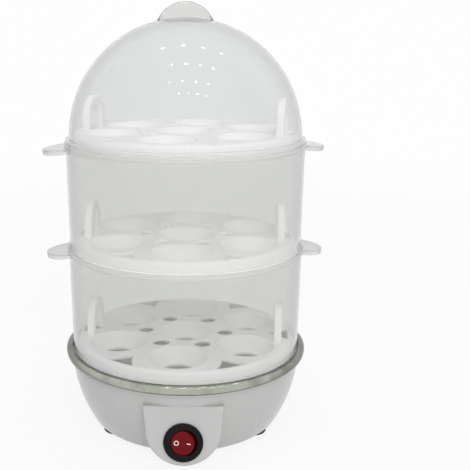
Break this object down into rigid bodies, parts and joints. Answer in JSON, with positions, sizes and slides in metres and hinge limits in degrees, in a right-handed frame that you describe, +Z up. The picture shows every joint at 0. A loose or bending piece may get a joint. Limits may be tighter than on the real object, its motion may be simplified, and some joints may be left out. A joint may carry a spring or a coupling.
{
  "type": "egg boiler",
  "caption": "Tall electric egg boiler: white bowl base with a round red rocker switch, stacked clear storeys with egg trays, and a clear domed lid with a hollow grip.",
  "frame": {"origin": "on the vertical axis of the bowl, on the surface that the feet stand on", "axes": "+Z up, the switch panel faces -Y, +X to the right seen from the front"},
  "size_m": [0.1732, 0.1556, 0.2633],
  "materials": {
    "white_shell": "gloss",
    "bright_ring": "polished",
    "steel_sheet": "brushed",
    "silicone": "matt",
    "zinc_steel": "zinc plated",
    "heater_tube": "satin",
    "brass_blade": "satin",
    "cap_aluminium": "satin",
    "brown_moulding": "matt",
    "fuse_metal": "satin",
    "white_cover": "matt",
    "foot_rubber": "matt",
    "black_bush": "matt",
    "block_moulding": "matt",
    "black_bezel": "gloss",
    "red_rocker": "gloss",
    "lamp_glass": "clear",
    "red_wire": "satin",
    "blue_wire": "satin",
    "tray_white": "satin",
    "clear_wall": "clear, slightly milky plastic",
    "clear_lid": "clear, slightly milky plastic"
  },
  "bodies": {
    "base": {"base_shell": "white_shell", "trim_ring": "bright_ring", "heating_pan": "steel_sheet", "pan_seal": "silicone", "pan_screws": "zinc_steel", "heating_element": "heater_tube", "element_terminals": "brass_blade", "element_clamps": "zinc_steel", "stud_nuts": "zinc_steel", "thermostat_cap": "cap_aluminium", "thermostat_body": "brown_moulding", "thermostat_bracket": "zinc_steel", "thermal_fuse": "fuse_metal", "fuse_clip": "zinc_steel", "bottom_cover": "white_cover", "cover_screws": "zinc_steel", "feet": "foot_rubber", "cord_inlet": "black_bush", "terminal_block": "block_moulding", "block_screws": "brass_blade", "switch_body": "black_bezel", "switch_lamp": "lamp_glass", "switch_terminals": "brass_blade", "wire_live": "red_wire", "wire_lamp": "blue_wire", "wire_switch": "red_wire", "wire_thermostat": "red_wire", "wire_fuse": "red_wire", "wire_heater": "blue_wire"},
    "switch_rocker": {"switch_rocker": "red_rocker"},
    "tray_lower": {"tray_lower": "tray_white"},
    "tier_lower": {"tier_lower": "clear_wall"},
    "tray_middle": {"tray_middle": "tray_white"},
    "tier_upper": {"tier_upper": "clear_wall"},
    "tray_upper": {"tray_upper": "tray_white"},
    "lid": {"lid": "clear_lid"}
  },
  "joints": [
    {"name": "switch_rocker_tilt", "type": "hinge", "parent": "base", "child": "switch_rocker", "pos_m": [0, -0.0752, 0.01762], "axis": [0, 0.1219, 0.9925], "range_deg": [0, 22]},
    {"name": "tray_lower_lift", "type": "slide", "parent": "base", "child": "tray_lower", "axis": [0, 0, 1], "range_m": [0, 0.06]},
    {"name": "tier_lower_lift", "type": "slide", "parent": "tray_lower", "child": "tier_lower", "axis": [0, 0, 1], "range_m": [0, 0.08]},
    {"name": "tray_middle_lift", "type": "slide", "parent": "tier_lower", "child": "tray_middle", "axis": [0, 0, 1], "range_m": [0, 0.05]},
    {"name": "tier_upper_lift", "type": "slide", "parent": "tray_middle", "child": "tier_upper", "axis": [0, 0, 1], "range_m": [0, 0.08]},
    {"name": "tray_upper_lift", "type": "slide", "parent": "tier_upper", "child": "tray_upper", "axis": [0, 0, 1], "range_m": [0, 0.05]},
    {"name": "lid_lift", "type": "slide", "parent": "tray_upper", "child": "lid", "axis": [0, 0, 1], "range_m": [0, 0.1]}
  ]
}
